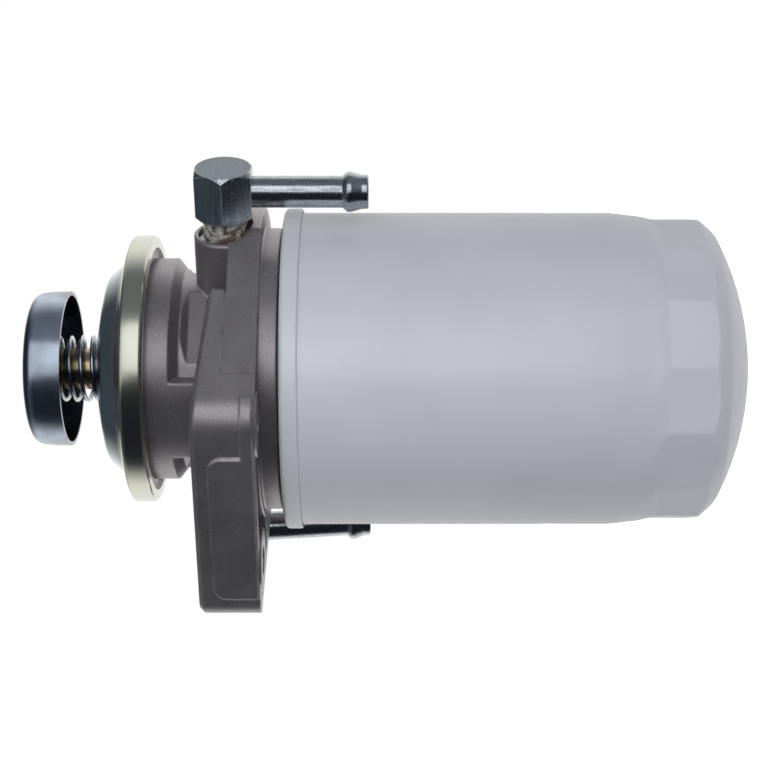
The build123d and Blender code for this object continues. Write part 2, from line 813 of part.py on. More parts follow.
pieces = {
    "head_casting": head_casting,
    "pump_cover": pump_cover,
    "rod_guide_bush": rod_guide_bush,
    "plunger_rod": plunger_rod,
    "plunger_knob": plunger_knob,
    "return_spring": return_spring,
    "diaphragm": diaphragm,
    "diaphragm_plate_upper": diaphragm_plate_upper,
    "diaphragm_plate_lower": diaphragm_plate_lower,
    "diaphragm_nut": diaphragm_nut,
    "inlet_valve_disc": inlet_valve_disc,
    "inlet_valve_spring": inlet_valve_spring,
    "inlet_valve_retainer": inlet_valve_retainer,
    "outlet_valve_seat": outlet_valve_seat,
    "outlet_valve_disc": outlet_valve_disc,
    "outlet_valve_spring": outlet_valve_spring,
    "inlet_elbow": elbow,
    "inlet_hose_tail": hose_tail,
    "inlet_seal_washer": seal_washer,
    "outlet_elbow": outlet_elbow,
    "outlet_hose_tail": outlet_hose_tail,
    "outlet_seal_washer": outlet_seal_washer,
    "canister_lid": canister_lid,
    "canister_shell": canister_shell,
    "canister_gasket": canister_gasket,
    "canister_nipple": canister_nipple,
    "tapping_plate": tapping_plate,
    "filter_paper": filter_paper,
    "element_cap_upper": element_cap_upper,
    "element_cap_lower": element_cap_lower,
    "centre_tube": centre_tube,
    "element_grommet": element_grommet,
    "element_spring": element_spring,
}


def write_parts():
    """Sets every piece where it stands from the bracket holes and writes it."""
    os.makedirs("parts", exist_ok=True)
    place = Pos(holes_offset, holes_to_axis, ring_proud - flange_bottom)
    for name, make in pieces.items():
        export_step(place * make(), f"parts/{name}.step")


if __name__ == "__main__":
    write_parts()
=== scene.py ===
from math import cos, exp, log, pi, radians, sin, sqrt, tan

import bmesh
import bpy
from mathutils import Matrix, Vector


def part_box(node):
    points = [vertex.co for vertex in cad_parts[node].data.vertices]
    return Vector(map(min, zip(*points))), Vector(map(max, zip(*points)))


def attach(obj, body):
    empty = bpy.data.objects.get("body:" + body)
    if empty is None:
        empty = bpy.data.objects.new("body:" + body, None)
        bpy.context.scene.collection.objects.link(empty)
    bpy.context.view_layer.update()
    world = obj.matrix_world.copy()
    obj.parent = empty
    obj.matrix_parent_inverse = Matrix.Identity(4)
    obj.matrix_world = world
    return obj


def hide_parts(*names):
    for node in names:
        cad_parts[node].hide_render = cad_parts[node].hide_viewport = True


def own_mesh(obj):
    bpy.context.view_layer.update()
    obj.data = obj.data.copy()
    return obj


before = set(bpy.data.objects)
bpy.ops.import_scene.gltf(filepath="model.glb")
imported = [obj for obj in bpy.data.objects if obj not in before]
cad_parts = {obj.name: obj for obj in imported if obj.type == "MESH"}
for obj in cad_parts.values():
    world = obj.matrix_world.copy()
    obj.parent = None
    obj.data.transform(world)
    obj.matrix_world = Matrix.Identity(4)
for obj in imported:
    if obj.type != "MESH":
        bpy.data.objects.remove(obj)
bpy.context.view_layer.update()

# Lengths are in millimetres about the filter's upright axis, with the port centres at
# height 0. HERE is where that point stands from the bracket holes.
METRE = 1000
HERE = Vector((12.5, 48.5, 10.9))

# Priming pump: its pressed sheet, and the shallow crown that knob and dome share. A crowned
# part ends at its own radius, and goes on straight to the bend at the shoulder.
PUMP_SHEET = 1.2
CROWN_RADIUS = 100.0
CROWN_STEPS = 10
KNOB_TOP = 60.6
KNOB_DIMPLE = 58.9
DIMPLE_RADIUS = 6.6
DIMPLE_EDGE = 7.8
KNOB_CROWNED = 18.0
KNOB_SHOULDER = 22.2
KNOB_RADIUS = 22.95
KNOB_RIM = 47.65
COVER_TOP = 39.25
COVER_CROWNED = 22.0
COVER_SHOULDER = 27.6
COVER_BRIM = 31.6
COVER_RADIUS = 39.5
COVER_FOOT = 21.9
CLAMP_RADIUS = 36.0
SEAT = 26.5
SEAT_SLOPE = radians(16)

# Rod, bush, membrane and springs on the pump's line. MEMBRANE_SLOPED is the membrane's
# thickness measured upright on its slope.
ROD_RADIUS = 6.2
ROD_NECK = 4.0
ROD_HEAD = 60.2
ROD_HEAD_RADIUS = 5.8
ROD_FOOT = 25.25
BUSH_BORE = 6.27
BUSH_RADIUS = 7.5
BUSH_FLANGE = 10.0
BUSH_FOOT = 36.05
BUSH_TOP = 40.25
MEMBRANE_SHEET = 1.5
MEMBRANE_SLOPED = 1.56
MEMBRANE_RADIUS = 37.4
MEMBRANE_FOLD = 30.4
MEMBRANE_TOP = 34.25
MEMBRANE_FOOT = 26.1
COIL_RADIUS = 9.35
COIL_WIRE = 0.65
COIL_PITCH = 3.55
COIL_CLEARANCE = 0.01
VALVE_COIL_RADIUS = 2.8
VALVE_COIL_WIRE = 0.3

# Ports: starts and ends are distances out from the filter's axis, along the port. Those of
# the tube are heights about the port's centre line instead.
STEM_RADIUS = 5.1
STEM_START = 30.0
WASHER_RADIUS = 7.6
WASHER_START = 41.6
COLLAR_RADIUS = 6.4
COLLAR_START = 43.1
HEX_ACROSS = 16.0
HEX_START = 50.0
HEX_END = 64.6
HEX_CHAMFER = 1.3
HEX_CHAMFER_RISE = 1.07
TUBE_RADIUS = 4.5
TUBE_BORE = 3.3
TUBE_START = -3.0
TUBE_END = -40.8
BEAD_RADIUS = 5.7

# Canister: lid, seam, can, wrench flats and domed end. The flats run out upwards over a short
# ramp, and the domed end is part of a sphere.
LID_SHEET = 0.9
LID_FLOOR = -20.6
LID_BORE = 29.3
LID_WALL = 43.7
SEAM_RADIUS = 47.5
SEAM_INNER = 46.55
SEAM_TOP = -16.2
SEAM_FOOT = -21.3
CAN_WALL = 0.95
CAN_TOP = -20.9
CAN_RADIUS = 46.2
CAN_INNER = 45.2
CAN_WAIST = 45.3
WAIST_INNER = 43.2
WRENCH_FLATS = 15
FLATS_RADIUS = 44.2
FLATS_START = -123.7
FLATS_RUN_OUT = 4.5
FLATS_RISE = 1.3
FLATS_TOP = -117.0
CORNER_TOP = -132.4
CORNER_FOOT = -136.2
DOME_CENTRE = -69.0
DOME_RADIUS = 83.0
DOME_EDGE = 36

# Radius of a ring that stands for a point on the axis
POINT = 0.001


def place(point):
    """A point about the filter axis, in millimetres, as a place in the scene."""
    return (Vector(point) + HERE) / METRE


# Outlines of turned pieces

def rounded(points, radii, steps=8):
    """An open outline of (radius, height) points with arcs at its inner corners."""
    nearly_straight = 0.01
    path = [Vector(points[0])]
    for before, corner, after, radius in zip(points, points[1:], points[2:], radii):
        corner = Vector(corner)
        back = (Vector(before) - corner).normalized()
        on = (Vector(after) - corner).normalized()
        half = back.angle(on) / 2
        if radius == 0 or abs(half - pi / 2) < nearly_straight:
            path.append(corner)
            continue
        middle = corner + (back + on).normalized() * radius / sin(half)
        first = corner + back * radius / tan(half) - middle
        last = corner + on * radius / tan(half) - middle
        turn = first.angle_signed(last)
        for step in range(steps + 1):
            angle = turn * step / steps
            spoke = Vector((first.x * cos(angle) + first.y * sin(angle),
                            first.y * cos(angle) - first.x * sin(angle)))
            path.append(middle + spoke)
    return path + [Vector(points[-1])]


def sheet(path, thickness):
    """A closed outline of a bent sheet, from its outer side and its thickness."""
    inner = []
    for index, point in enumerate(path):
        before = path[max(index - 1, 0)]
        after = path[min(index + 1, len(path) - 1)]
        along = (after - before).normalized()
        inner.append(point + Vector((along.y, -along.x)) * thickness)
    return path + inner[::-1]


# ALONG_PORT lays an upright piece along the inlet port, and SIDES turns a port's pieces to
# its own side of the filter. The outlet's hose tail is swung a little round its port.
UPRIGHT = Matrix.Identity(4)
ALONG_PORT = Matrix.Rotation(pi / 2, 4, "Y")
OUTLET_SWING = radians(-6)
SIDES = {"inlet": UPRIGHT,
         "outlet": Matrix.Rotation(pi, 4, "Z") @ Matrix.Rotation(OUTLET_SWING, 4, "X")}


def swept(name, rings, material, node, body="filter", closed=True, axis=UPRIGHT, sharp=35):
    """A piece skinned over rings of points, in place of its node; closed joins last to first."""
    weld, sliver = 1e-7, 1e-8
    form = bmesh.new()
    loops = [[form.verts.new(place(axis @ Vector(point))) for point in ring] for ring in rings]
    pairs = list(zip(loops, loops[1:]))
    if closed:
        pairs.append((loops[-1], loops[0]))
    for low, high in pairs:
        for index in range(len(low)):
            follow = (index + 1) % len(low)
            form.faces.new((low[index], low[follow], high[follow], high[index]))
    if not closed:
        form.faces.new(loops[0][::-1])
        form.faces.new(loops[-1])
    bmesh.ops.remove_doubles(form, verts=form.verts, dist=weld)
    bmesh.ops.dissolve_degenerate(form, edges=form.edges, dist=sliver)
    bmesh.ops.recalc_face_normals(form, faces=form.faces)
    for face in form.faces:
        face.smooth = True
    mesh = bpy.data.meshes.new(name)
    form.to_mesh(mesh)
    form.free()
    mesh.set_sharp_from_angle(angle=radians(sharp))
    mesh.materials.append(material)
    item = bpy.data.objects.new(name, mesh)
    bpy.context.collection.objects.link(item)
    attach(item, body)
    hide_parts(node)
    return item


def circle(radius, height, count):
    """A level ring of points."""
    angles = [2 * pi * i / count for i in range(count)]
    return [(radius * cos(angle), radius * sin(angle), height) for angle in angles]


def lathe(name, outline, material, node, body="filter", axis=UPRIGHT, count=160):
    """A turned piece from its closed (radius, height) outline."""
    rings = [circle(max(radius, POINT), height, count) for radius, height in outline]
    return swept(name, rings, material, node, body, axis=axis)


# Materials

def srgb(code):
    """Linear colour of an sRGB hex code."""
    parts = [int(code[i:i + 2], 16) / 255 for i in (0, 2, 4)]
    return [c / 12.92 if c <= 0.04045 else ((c + 0.055) / 1.055) ** 2.4 for c in parts] + [1]


def add(tree, kind, *values, links=None, **settings):
    """Adds a node with its settings. Values go to its open sockets in order, and links by name.

    A value that is a node or a socket is joined, and any other is set. So MapRange takes a
    value, the two ends of its range and the two ends that they are spread to, 0 and 1 if left
    out, and Mix takes a factor and two colours or numbers.
    """
    node = tree.nodes.new("ShaderNode" + kind)
    for key, value in settings.items():
        setattr(node, key, value)
    sockets = [socket for socket in node.inputs if socket.enabled]
    filled = list(zip(sockets, values))
    filled += [(node.inputs[key], value) for key, value in (links or {}).items()]
    for socket, value in filled:
        if isinstance(value, bpy.types.Node):
            value = next(output for output in value.outputs if output.enabled)
        if isinstance(value, bpy.types.NodeSocket):
            tree.links.new(value, socket)
        else:
            socket.default_value = value
    return node


def blank(name):
    """A new material without nodes."""
    material = bpy.data.materials.new(name)
    material.use_nodes = True
    material.node_tree.nodes.clear()
    return material, material.node_tree


def grains(tree, size, detail=2.0, stretch=(1, 1, 1)):
    """Uneven pattern whose grains are about size millimetres across.

    Where stretch is below 1 along an axis, they are longer along it.
    """
    spot = add(tree, "TexCoord").outputs["Object"]
    spot = add(tree, "Mapping", spot, links={"Scale": stretch})
    return add(tree, "TexNoise", links={"Vector": spot, "Scale": METRE / size, "Detail": detail})


def off_axis(tree):
    """Distance from the filter's axis, in millimetres."""
    spot = add(tree, "TexCoord").outputs["Object"]
    axis = (HERE.x / METRE, HERE.y / METRE, 0)
    spot = add(tree, "VectorMath", spot, axis, operation="SUBTRACT")
    level = add(tree, "VectorMath", spot, (METRE, METRE, 0), operation="MULTIPLY")
    return add(tree, "VectorMath", level, operation="LENGTH")


def cast_aluminium():
    """Die-cast and bead-blasted, so a dull grey full of fine sparks, with lighter edges that are
    partly rubbing wear and partly painted highlight.

    The blasted grain is drawn coarser than the real one, so that it shows.
    """
    material, tree = blank("cast_aluminium")
    soft = add(tree, "Bevel", 1.1 / METRE, samples=8)
    true = add(tree, "NewGeometry").outputs["Normal"]
    # Lighter edges: part rubbing wear, part painted highlight
    bend = add(tree, "VectorMath", soft, true, operation="DOT_PRODUCT")
    rub_wear_and_highlight = add(tree, "MapRange", bend, 0.985, 0.82, 0, 0.9)
    patchy = add(tree, "MapRange", grains(tree, size=6, detail=3), 0.42, 0.6, 0.25, 1)
    rub_wear_and_highlight = add(tree, "Math", rub_wear_and_highlight, patchy, operation="MULTIPLY")
    blasted = grains(tree, size=0.42, detail=3)
    cloud = add(tree, "MapRange", grains(tree, size=14, detail=3), 0.35, 0.7)
    sparks = add(tree, "MapRange", blasted, 0.5, 0.8, 0, 0.7)
    tone = add(tree, "Mix", cloud, srgb("999497"), srgb("aea9ac"), data_type="RGBA")
    tone = add(tree, "Mix", sparks, tone, srgb("c9c4c8"), data_type="RGBA")
    tone = add(tree, "Mix", rub_wear_and_highlight, tone, srgb("d6d1d2"), data_type="RGBA")
    dull = add(tree, "MapRange", blasted, 0.4, 0.7, 0.42, 0.32)
    rough = add(tree, "Bump", links={"Height": blasted, "Distance": 0.06 / METRE, "Normal": soft})
    surface = add(tree, "BsdfPrincipled", tone, 0.8, dull, links={"Normal": rough})
    add(tree, "OutputMaterial", surface)
    return material


def zinc_plate(name, low, high, roughness, rim=None, inside=None):
    """Zinc plate with its thin chromate film, so a bright metal that shifts in hue as it turns.

    The film's colour goes from low to high at a slant; where high is darker, as on the knob, that
    darkening is painted shade on the flanks.
    rim is its colour on the crimped rim, and inside is a darker colour painted inside the knob's cup
    as painted shade.
    """
    material, tree = blank(name)
    # The film's colour follows the slant; on the knob it darkens there, which is painted shade
    edge = add(tree, "LayerWeight", links={"Blend": 0.35}).outputs["Facing"]
    cloud = grains(tree, size=9, detail=3)
    drift = add(tree, "MapRange", cloud, 0.3, 0.7, -0.25, 0.25)
    shift = add(tree, "Math", edge, drift, operation="ADD")
    tone = add(tree, "Mix", shift, srgb(low), srgb(high), data_type="RGBA")
    dull = add(tree, "MapRange", cloud, 0.3, 0.7, roughness, roughness * 1.5)
    if rim is not None:
        rim_roughness = 0.22
        outer = add(tree, "MapRange", off_axis(tree), 30, 33)
        tone = add(tree, "Mix", outer, tone, srgb(rim), data_type="RGBA")
        dull = add(tree, "Mix", outer, dull, rim_roughness)
    if inside is not None:
        # Painted shade: the knob's cup is drawn darker inside, under its crown and within its wall
        height = add(tree, "SeparateXYZ", add(tree, "TexCoord").outputs["Object"]).outputs["Z"]
        ceiling = [(KNOB_TOP - depth + HERE.z) / METRE for depth in (1.6, 3.1)]
        wall = [KNOB_RADIUS - PUMP_SHEET + margin for margin in (0.35, 0.05)]
        under = add(tree, "MapRange", height, *ceiling)
        within = add(tree, "MapRange", off_axis(tree), *wall)
        painted_hollow_shade = add(tree, "Math", under, within, operation="MULTIPLY")
        tone = add(tree, "Mix", painted_hollow_shade, tone, srgb(inside), data_type="RGBA")
    rough = add(tree, "Bump", links={"Height": grains(tree, size=1.2), "Distance": 0.004 / METRE})
    surface = add(tree, "BsdfPrincipled", tone, 1.0, dull, links={"Normal": rough})
    add(tree, "OutputMaterial", surface)
    return material


def handled_zinc(tree, streak):
    """What hexagon and tube share: tone and roughness of zinc plate with bright and dull specks.

    The specks are drawn coarser than most of the real ones, so that they show.
    """
    speck = grains(tree, size=0.35)
    drawn = add(tree, "MapRange", streak, 0.35, 0.65)
    nicks = add(tree, "MapRange", speck, 0.60, 0.68, 0, 0.8)
    dirt = add(tree, "MapRange", speck, 0.40, 0.32, 0, 0.8)
    tone = add(tree, "Mix", drawn, srgb("a3adb3"), srgb("ced5d9"), data_type="RGBA")
    tone = add(tree, "Mix", nicks, tone, srgb("f4f5f4"), data_type="RGBA")
    tone = add(tree, "Mix", dirt, tone, srgb("6e6154"), data_type="RGBA")
    dull = add(tree, "MapRange", speck, 0.35, 0.65, 0.28, 0.14)
    return speck, tone, dull


def tube_steel():
    """Drawn tube, zinc-plated and handled, so faintly streaked along its length, with specks."""
    material, tree = blank("tube_steel")
    soft = add(tree, "Bevel", 0.4 / METRE, samples=6)
    streak = grains(tree, size=0.7, detail=3, stretch=(1, 1, 0.12))
    speck, tone, dull = handled_zinc(tree, streak)
    rough = add(tree, "Bump", links={"Height": streak, "Distance": 0.001 / METRE, "Normal": soft})
    rough = add(tree, "Bump", links={"Height": speck, "Distance": 0.004 / METRE, "Normal": rough})
    surface = add(tree, "BsdfPrincipled", tone, 1.0, dull, links={"Normal": rough})
    add(tree, "OutputMaterial", surface)
    return material


def hexagon_steel():
    """Hexagon bar, turned at its ends and zinc-plated, so streaked along the bar.

    Its corners are drawn near white, partly as wear and partly as painted highlight, its end faces are
    darker with tool rings, and its collar is drawn in brown and pale patches as a painted reflection.
    The rings are drawn coarser than a tool's feed, so that they show.
    """
    material, tree = blank("hexagon_steel")
    soft = add(tree, "Bevel", 0.4 / METRE, samples=6)
    true = add(tree, "NewGeometry").outputs["True Normal"]
    streak = grains(tree, size=0.7, detail=3, stretch=(0.12, 1, 1))
    speck, tone, dull = handled_zinc(tree, streak)

    ring_pitch = 1.1
    spot = add(tree, "TexCoord").outputs["Object"]
    spot = add(tree, "VectorMath", spot, HERE / METRE, operation="SUBTRACT")
    across = add(tree, "VectorMath", spot, (0, 1, 1), operation="MULTIPLY")
    across = add(tree, "VectorMath", across, operation="LENGTH")
    wave = add(tree, "Math", across, 2 * pi * METRE / ring_pitch, operation="MULTIPLY")
    wave = add(tree, "Math", wave, operation="SINE")
    ends = add(tree, "VectorMath", true, (1, 0, 0), operation="DOT_PRODUCT")
    ends = add(tree, "Math", ends, operation="ABSOLUTE")
    ends = add(tree, "MapRange", ends, 0.96, 0.99)
    rings = add(tree, "Math", wave, ends, operation="MULTIPLY")
    end_cloud = add(tree, "MapRange", speck, 0.3, 0.7)
    end_tone = add(tree, "Mix", end_cloud, srgb("626c72"), srgb("79838a"), data_type="RGBA")
    tone = add(tree, "Mix", ends, tone, end_tone, data_type="RGBA")

    # Near-white corners: part wear, part painted highlight
    bend = add(tree, "VectorMath", soft, true, operation="DOT_PRODUCT")
    wear_and_painted_highlight = add(tree, "MapRange", bend, 0.99, 0.9, 0, 0.8)
    tone = add(tree, "Mix", wear_and_painted_highlight, tone, srgb("f0f2f2"), data_type="RGBA")

    # Painted reflection: the collar under the hexagon is drawn in brown and pale patches, and duller
    out = add(tree, "SeparateXYZ", spot).outputs["X"]
    out = add(tree, "Math", out, operation="ABSOLUTE")
    collar = add(tree, "MapRange", out, (HEX_START + 0.2) / METRE, (HEX_START - 0.2) / METRE)
    patches = add(tree, "MapRange", grains(tree, size=1.8), 0.42, 0.58)
    collar_painted_reflection = add(tree, "Mix", patches, srgb("d9d6d1"), srgb("75665b"), data_type="RGBA")
    tone = add(tree, "Mix", collar, tone, collar_painted_reflection, data_type="RGBA")
    matt = add(tree, "Math", wear_and_painted_highlight, collar, operation="MAXIMUM")
    sheen = add(tree, "MapRange", matt, 0, 1, 1, 0.4)

    rough = add(tree, "Bump", links={"Height": rings, "Distance": 0.003 / METRE, "Normal": soft})
    rough = add(tree, "Bump", links={"Height": streak, "Distance": 0.004 / METRE, "Normal": rough})
    rough = add(tree, "Bump", links={"Height": speck, "Distance": 0.004 / METRE, "Normal": rough})
    surface = add(tree, "BsdfPrincipled", tone, sheen, dull, links={"Normal": rough})
    add(tree, "OutputMaterial", surface)
    return material


def canister_enamel():
    """Sprayed and baked enamel, so a soft satin gloss with slight orange peel."""
    material, tree = blank("canister_paint")
    cloud = add(tree, "MapRange", grains(tree, size=30), 0.35, 0.65)
    tone = add(tree, "Mix", cloud, srgb("d3d5dc"), srgb("d8dae1"), data_type="RGBA")
    peel = add(tree, "Bump", links={"Height": grains(tree, size=2.5), "Distance": 0.006 / METRE})
    gloss = {"Roughness": 0.38, "IOR": 1.5, "Coat Weight": 0.25, "Coat Roughness": 0.12}
    surface = add(tree, "BsdfPrincipled", tone, links={"Normal": peel, **gloss})
    add(tree, "OutputMaterial", surface)
    return material


def plain(name, code, metallic=0.0, roughness=0.5, grain=0.8, depth=0.01):
    """A plain surface with a fine grain, lighter on metal and darker on the rest."""
    material, tree = blank(name)
    texture = grains(tree, size=grain)
    flecks = add(tree, "MapRange", texture, 0.3, 0.7, 0, 0.25)
    fleck = srgb("ffffff" if metallic else "000000")
    tone = add(tree, "Mix", flecks, srgb(code), fleck, data_type="RGBA")
    rough = add(tree, "Bump", links={"Height": texture, "Distance": depth / METRE})
    surface = add(tree, "BsdfPrincipled", tone, metallic, roughness, links={"Normal": rough})
    add(tree, "OutputMaterial", surface)
    return material


# Pieces of the pump

def crown(top, radius):
    """Height of a shallow pressed crown at a radius."""
    return top - radius ** 2 / (2 * CROWN_RADIUS)


def crown_path(top, start, end):
    """Points of a shallow crown between two radii."""
    radii = [start + (end - start) * i / CROWN_STEPS for i in range(CROWN_STEPS + 1)]
    return [(radius, crown(top, radius)) for radius in radii]


def knob(steel):
    """Pressed cup with its dimple round the rod's riveted end."""
    dimple = [(ROD_NECK, KNOB_DIMPLE), (DIMPLE_RADIUS, KNOB_DIMPLE)]
    top = crown_path(KNOB_TOP, DIMPLE_EDGE, KNOB_CROWNED)
    shoulder = [(KNOB_SHOULDER, crown(KNOB_TOP, KNOB_SHOULDER))]
    skirt = [(KNOB_RADIUS - 0.1, 53.0), (KNOB_RADIUS, KNOB_RIM)]
    bends = [0.9, 0.9] + [0] * CROWN_STEPS + [3.9, 40]
    path = rounded(dimple + top + shoulder + skirt, bends)
    lathe("knob", sheet(path, PUMP_SHEET), steel, "plunger_knob", "plunger")


def cover(steel):
    """Pressed dome, its rim crimped under the casting's clamp flange."""
    def seated(radius):
        """Point on the cover's slope, over the membrane on its seat."""
        thick = (MEMBRANE_SHEET + PUMP_SHEET) / cos(SEAT_SLOPE)
        return radius, SEAT + thick - (radius - CLAMP_RADIUS) * tan(SEAT_SLOPE)

    top = crown_path(COVER_TOP, BUSH_RADIUS + 0.02, COVER_CROWNED)
    shoulder = [(COVER_SHOULDER, crown(COVER_TOP, COVER_SHOULDER))]
    brim = [seated(COVER_BRIM), seated(COVER_RADIUS)]
    crimp = [(COVER_RADIUS, COVER_FOOT), (CLAMP_RADIUS, COVER_FOOT)]
    bends = [0] * CROWN_STEPS + [3.4, 1.3, 1.3, 1.25]
    path = rounded(top + shoulder + brim + crimp, bends)
    lathe("cover", sheet(path, PUMP_SHEET), steel, "pump_cover", count=200)


def bush(steel):
    """Turned collar with small chamfers."""
    chamfer = 0.3
    shelf = crown(COVER_TOP, BUSH_FLANGE) - PUMP_SHEET - 0.05
    outline = [(BUSH_BORE, BUSH_FOOT), (BUSH_FLANGE, BUSH_FOOT), (BUSH_FLANGE, shelf),
               (BUSH_RADIUS, shelf), (BUSH_RADIUS, BUSH_TOP - chamfer),
               (BUSH_RADIUS - chamfer, BUSH_TOP), (BUSH_BORE + 0.33, BUSH_TOP),
               (BUSH_BORE, BUSH_TOP - chamfer)]
    lathe("bush", outline, steel, "rod_guide_bush", count=96)


def rod(steel):
    """Rod with its riveted head in the knob and its lower end in the membrane's nut."""
    under_knob = KNOB_DIMPLE - PUMP_SHEET
    on_plate = MEMBRANE_TOP + 1.5
    head = rounded([(0, ROD_HEAD), (ROD_HEAD_RADIUS, ROD_HEAD), (ROD_HEAD_RADIUS, KNOB_DIMPLE),
                    (ROD_NECK, KNOB_DIMPLE)], [0.7, 0])
    shank = [(ROD_NECK, under_knob), (ROD_RADIUS - 0.2, under_knob), (ROD_RADIUS, under_knob - 0.2),
             (ROD_RADIUS, on_plate), (ROD_NECK, on_plate), (ROD_NECK, ROD_FOOT + 0.5),
             (ROD_NECK - 0.5, ROD_FOOT), (0, ROD_FOOT)]
    lathe("rod", head + shank, steel, "plunger_rod", "plunger", count=96)


def membrane(rubber):
    """Moulded rubber membrane, clamped at its rim, whose middle goes down with the rod."""
    low = MEMBRANE_TOP - MEMBRANE_SHEET
    fold = 28.11
    top = rounded([(MEMBRANE_RADIUS, MEMBRANE_FOOT + MEMBRANE_SLOPED),
                   (MEMBRANE_FOLD, fold + MEMBRANE_SLOPED), (22.0, MEMBRANE_TOP),
                   (ROD_NECK, MEMBRANE_TOP)], [3, 4])
    bottom = rounded([(ROD_NECK, low), (21.6, low), (MEMBRANE_FOLD, fold),
                      (MEMBRANE_RADIUS, MEMBRANE_FOOT)], [4, 3])
    item = lathe("membrane", top + bottom, rubber, "diaphragm")
    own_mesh(item)


def coil(name, node, middle, radius, wire, ends, turns, start, steel):
    """Wire wound round an upright line between two heights, from an angle on."""
    steps, sides = 40, 14
    bottom, top = ends
    climb = (top - bottom - 2 * wire) / (turns * steps)
    around = [2 * pi * side / sides for side in range(sides)]
    rings = []
    for step in range(round(turns * steps) + 1):
        angle = start + 2 * pi * step / steps
        out = Vector((cos(angle), sin(angle), 0))
        centre = middle + out * radius + Vector((0, 0, bottom + wire + climb * step))
        rings.append([centre + wire * (out * cos(turn) + Vector((0, 0, sin(turn))))
                      for turn in around])
    return swept(name, rings, steel, node, closed=False)


def return_spring(steel):
    """Wire coil which shortens as the knob goes down."""
    bottom = crown(COVER_TOP, COIL_RADIUS)
    top = crown(KNOB_TOP, 10.0) - PUMP_SHEET - 0.1
    free = top - bottom - 2 * (COIL_WIRE + COIL_CLEARANCE)
    turns = round(free / COIL_PITCH * 2) / 2
    ends = (bottom + COIL_CLEARANCE, top - COIL_CLEARANCE)
    item = coil("return_coil", "return_spring", Vector((0, 0, 0)), COIL_RADIUS, COIL_WIRE, ends,
                turns, radians(-150), steel)
    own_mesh(item)


def valve_spring(side, steel):
    """Light coil which shortens as its valve disc opens."""
    node = side + "_valve_spring"
    low, high = (Vector(corner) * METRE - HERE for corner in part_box(node))
    middle = Vector(((low.x + high.x) / 2, (low.y + high.y) / 2, 0))
    item = coil(side + "_valve_coil", node, middle, VALVE_COIL_RADIUS, VALVE_COIL_WIRE,
                (low.z, high.z), 3, 0, steel)
    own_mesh(item)


# Pieces of the ports

def hex_radius(angle):
    """Radius of the elbow's hexagon at an angle."""
    return HEX_ACROSS / 2 / cos((angle + pi / 6) % (pi / 3) - pi / 6)


def elbow(side, turn, steel):
    """Hexagon body with chamfered ends, its collar and stem."""
    count = 144
    corner = HEX_ACROSS / sqrt(3)
    face = corner - HEX_CHAMFER
    # The round edge of the end face, then the hexagon's own outline where the chamfer meets it
    near_end = []
    for limit in (face, corner):
        ring = []
        for i in range(count):
            angle = 2 * pi * i / count
            radius = min(limit, hex_radius(angle))
            rise = HEX_START + max(0, radius - face) * HEX_CHAMFER_RISE
            ring.append((radius * cos(angle), radius * sin(angle), rise))
        near_end.append(ring)
    far_end = [[(x, y, HEX_START + HEX_END - z) for x, y, z in ring] for ring in near_end[::-1]]
    stem = [(POINT, STEM_START), (STEM_RADIUS, STEM_START), (STEM_RADIUS, COLLAR_START),
            (COLLAR_RADIUS, COLLAR_START), (COLLAR_RADIUS, HEX_START)]
    rings = [circle(radius, height, count) for radius, height in stem] + near_end + far_end
    rings += [circle(radius, HEX_END, count) for radius in (6, 4, 2, POINT)]
    swept(side + "_hexagon", rings, steel, side + "_elbow", closed=False,
          axis=turn @ ALONG_PORT, sharp=25)


def tail(side, turn, steel):
    """Drawn tube with a rolled bead near its open end."""
    bead_top, bead_foot, lip = -34.8, -35.9, 4.8
    outer = rounded([(TUBE_RADIUS, TUBE_START), (TUBE_RADIUS, bead_top + 1.3), (BEAD_RADIUS, bead_top),
                     (BEAD_RADIUS, bead_foot), (lip, -39.0), (lip, TUBE_END), (TUBE_BORE, TUBE_END)],
                    [0.5, 0.6, 2.5, 2.5, 0.5])
    outline = outer + [(TUBE_BORE, TUBE_START)]
    middle = Matrix.Translation(((HEX_START + HEX_END) / 2, 0, 0))
    lathe(side + "_tube", outline, steel, side + "_hose_tail", axis=turn @ middle, count=96)


def washer(side, turn, metal):
    """Bright washer at the bottom of the port's counterbore."""
    chamfer = 0.2
    outline = [(STEM_RADIUS, WASHER_START), (WASHER_RADIUS - chamfer, WASHER_START),
               (WASHER_RADIUS, WASHER_START + chamfer), (WASHER_RADIUS, COLLAR_START - chamfer),
               (WASHER_RADIUS - chamfer, COLLAR_START), (STEM_RADIUS, COLLAR_START)]
    lathe(side + "_washer", outline, metal, side + "_seal_washer", axis=turn @ ALONG_PORT, count=72)


# Pieces of the canister

def lid(enamel):
    """Lid with its folded seam round the rim."""
    outer = rounded([(LID_WALL, LID_FLOOR), (LID_WALL, SEAM_TOP), (SEAM_RADIUS, SEAM_TOP),
                     (SEAM_RADIUS, SEAM_FOOT), (SEAM_INNER, SEAM_FOOT)], [0.6, 1.5, 0.5])
    path = [(LID_BORE, LID_FLOOR), (LID_WALL - 0.8, LID_FLOOR)] + outer
    inner = [(SEAM_INNER, SEAM_TOP - LID_SHEET), (LID_WALL + LID_SHEET, SEAM_TOP - LID_SHEET),
             (LID_WALL + LID_SHEET, LID_FLOOR - LID_SHEET), (LID_BORE, LID_FLOOR - LID_SHEET)]
    lathe("lid", path + inner, enamel, "canister_lid", count=220)


def soft_least(first, second, width):
    """The smaller of two values, with a rounded change from one to the other."""
    least = min(first, second)
    return least - width * log(exp(-(first - least) / width) + exp(-(second - least) / width))


def flat_radius(angle, height):
    """Radius of the wrench flats, which run out upwards in a short ramp."""
    step = 2 * pi / WRENCH_FLATS
    run_out = max(0.0, (height - FLATS_START) / FLATS_RUN_OUT)
    return (FLATS_RADIUS + FLATS_RISE * run_out) / cos((angle + step / 2) % step - step / 2)


def dome_height(radius):
    """Height of the canister's domed end at a radius."""
    return DOME_CENTRE - sqrt(DOME_RADIUS ** 2 - radius ** 2)


